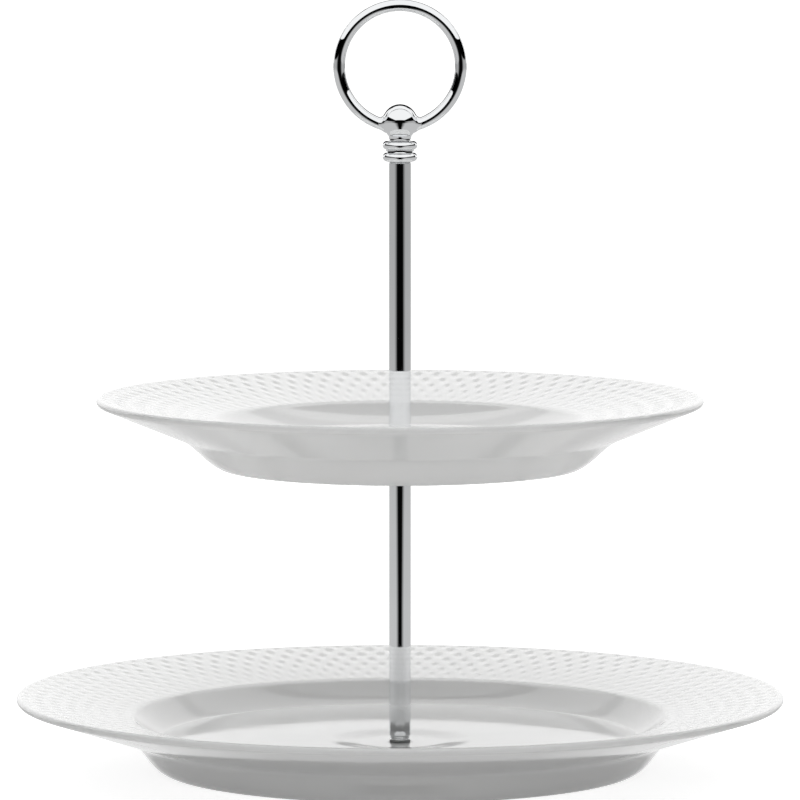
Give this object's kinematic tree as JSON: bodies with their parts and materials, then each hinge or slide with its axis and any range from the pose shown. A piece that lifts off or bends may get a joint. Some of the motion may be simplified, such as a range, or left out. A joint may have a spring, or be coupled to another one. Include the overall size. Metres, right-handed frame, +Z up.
{
  "type": "tiered cake stand",
  "caption": "Free-standing serving stand: round porcelain plates clamped one above the other on a slim chromed stem, carried by a finger ring on a turned finial.",
  "frame": {"origin": "middle of the lower plate's foot ring, on the table", "axes": "+Z up along the stem, the finger ring lies in the XZ plane, so +Y is its normal"},
  "size_m": [0.28, 0.28, 0.2806],
  "materials": {
    "porcelain": "white, high-gloss glaze",
    "chrome": "polished chrome plate",
    "zinc_steel": "bright zinc-plated steel",
    "nylon": "natural nylon",
    "rubber": "soft black rubber",
    "clear_washer": "grey translucent nylon"
  },
  "bodies": {
    "lower_tier": {"lower_plate": "porcelain", "lower_plate_bush": "nylon", "lower_seat_washer": "clear_washer", "base_pad": "rubber"},
    "stem": {"base_washer": "zinc_steel", "lock_washer": "zinc_steel", "base_screw": "zinc_steel", "lower_tube": "chrome", "lower_tube_bottom_insert": "zinc_steel", "lower_tube_top_insert": "zinc_steel", "tier_stud": "zinc_steel", "support_washer": "zinc_steel"},
    "upper_tier": {"upper_plate": "porcelain", "upper_plate_bush": "nylon", "support_pad": "rubber"},
    "upper_seat": {"upper_seat_washer": "clear_washer"},
    "upper_stem": {"upper_tube": "chrome", "upper_tube_bottom_insert": "zinc_steel", "upper_tube_top_insert": "zinc_steel", "handle_stud": "zinc_steel"},
    "handle_seat": {"handle_washer": "clear_washer"},
    "handle": {"finial": "chrome", "finger_ring": "chrome"}
  },
  "joints": [
    {"name": "stem_turn", "type": "hinge", "parent": "lower_tier", "child": "stem", "pos_m": [0, 0, 0], "axis": [0, 0, 1], "continuous": true},
    {"name": "upper_tier_turn", "type": "hinge", "parent": "stem", "child": "upper_tier", "pos_m": [0, 0, 0.11], "axis": [0, 0, 1], "continuous": true},
    {"name": "upper_stem_rise", "type": "slide", "parent": "stem", "child": "upper_seat", "axis": [0, 0, 1], "range_m": [0, 0.00717]},
    {"name": "upper_stem_unscrew", "type": "hinge", "parent": "upper_seat", "child": "upper_stem", "pos_m": [0, 0, 0.12], "axis": [0, 0, 1], "range_deg": [0, 3690]},
    {"name": "handle_rise", "type": "slide", "parent": "upper_stem", "child": "handle_seat", "axis": [0, 0, 1], "range_m": [0, 0.00717]},
    {"name": "handle_unscrew", "type": "hinge", "parent": "handle_seat", "child": "handle", "pos_m": [0, 0, 0.222], "axis": [0, 0, 1], "range_deg": [0, 3690]}
  ],
  "couplings": [
    {"joint": "upper_stem_unscrew", "follows": "upper_stem_rise", "rad_per_m": 8976},
    {"joint": "handle_unscrew", "follows": "handle_rise", "rad_per_m": 8976}
  ]
}
